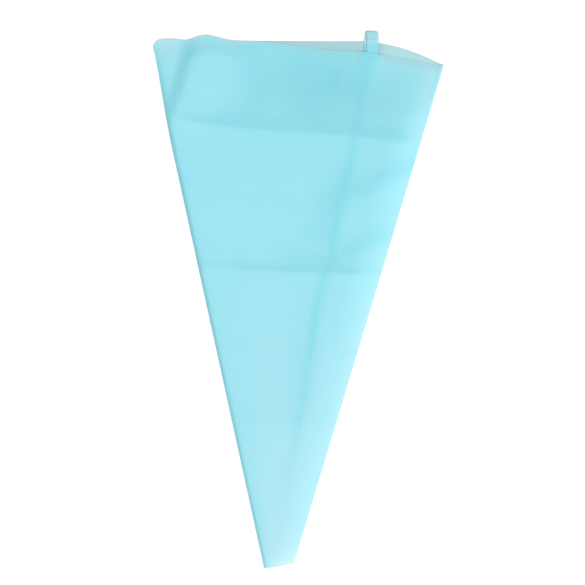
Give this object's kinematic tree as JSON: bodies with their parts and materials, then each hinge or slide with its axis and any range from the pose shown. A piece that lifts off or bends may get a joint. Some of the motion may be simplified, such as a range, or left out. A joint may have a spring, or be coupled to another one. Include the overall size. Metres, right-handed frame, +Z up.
{
  "type": "piping bag",
  "caption": "Reusable piping bag of satin cloudy film, empty and lying flat, with a lap seam, a hanging loop, an open mouth and a cut tip.",
  "frame": {"origin": "middle of the bag's box in X and Y, on the surface that its back wall lies on", "axes": "+X across the bag, with the hanging loop on the +X side; +Y from the tip to the mouth; +Z up, out of the front wall"},
  "size_m": [0.198, 0.3676, 0.0129],
  "materials": {
    "film": "satin cloudy film, pale turquoise",
    "seam": "double film, a shade deeper",
    "loop": "satin film strip, a shade deeper"
  },
  "bodies": {
    "upper": {"upper_film": "film", "upper_seam": "seam"},
    "mouth": {"mouth_film": "film", "mouth_seam": "seam", "loop_tail": "loop"},
    "lower": {"lower_film": "film", "lower_seam": "seam"},
    "tip": {"tip_film": "film", "tip_seam": "seam"},
    "loop": {"loop_eye": "loop"}
  },
  "joints": [
    {"name": "mouth_fold", "type": "hinge", "parent": "upper", "child": "mouth", "pos_m": [0, 0.11234, 0], "axis": [-0.9974, 0.0715, 0], "range_deg": [0, 165]},
    {"name": "middle_fold", "type": "hinge", "parent": "upper", "child": "lower", "pos_m": [0, 0.01834, 0.01028], "axis": [-1, 0, 0], "range_deg": [0, 170]},
    {"name": "tip_fold", "type": "hinge", "parent": "lower", "child": "tip", "pos_m": [0, -0.08366, 0], "axis": [1, 0, 0], "range_deg": [0, 170]},
    {"name": "loop_swing", "type": "hinge", "parent": "mouth", "child": "loop", "pos_m": [0.04925, 0.17474, 0.001], "axis": [1, 0, 0], "range_deg": [-75, 75]}
  ]
}
